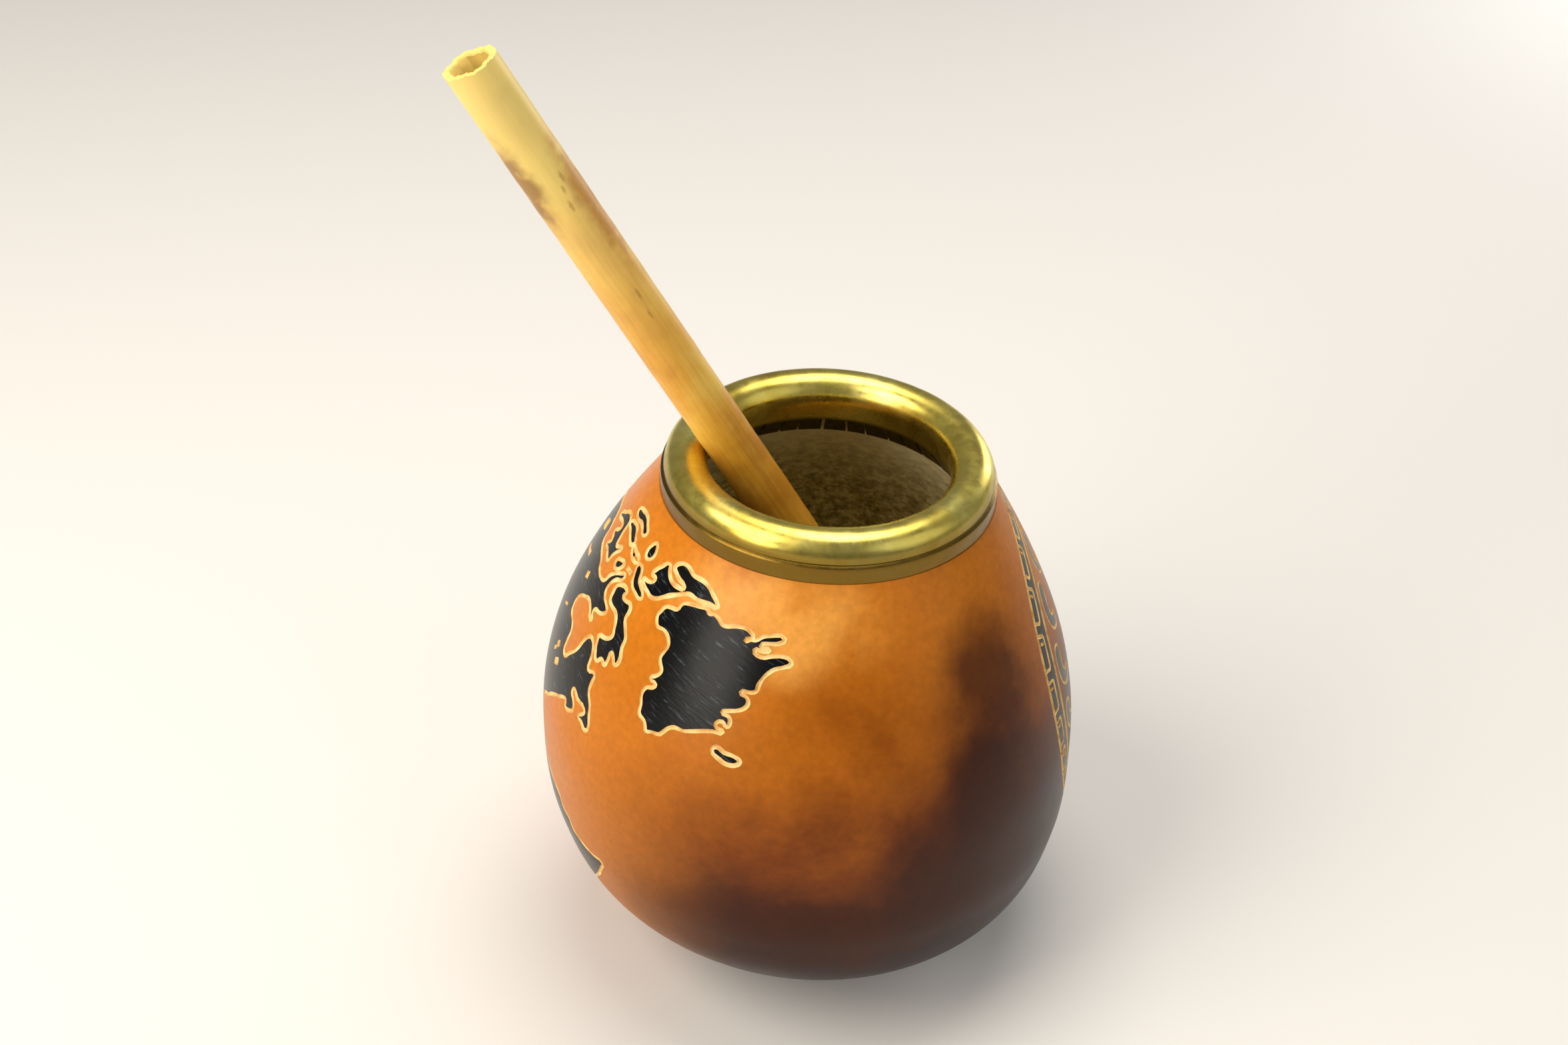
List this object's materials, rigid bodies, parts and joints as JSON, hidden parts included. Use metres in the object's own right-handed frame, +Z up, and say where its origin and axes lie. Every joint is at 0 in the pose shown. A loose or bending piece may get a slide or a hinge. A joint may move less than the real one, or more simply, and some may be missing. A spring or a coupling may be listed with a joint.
{
  "type": "mate cup",
  "caption": "Mate cup: a hollow carved gourd on a sanded flat, with a rolled brass rim over its mouth and a cane drinking straw leaning in it.",
  "frame": {"origin": "on the sanded flat that the gourd stands on, under the mouth's axis", "axes": "+Z up along the mouth's axis, +X away from the side that the straw's top leans to"},
  "size_m": [0.0919, 0.082, 0.1449],
  "materials": {
    "gourd_shell": "burnished",
    "rim_brass": "satin",
    "straw_cane": "natural"
  },
  "bodies": {
    "root": {"gourd": "gourd_shell", "rim": "rim_brass", "straw": "straw_cane"}
  },
  "joints": []
}
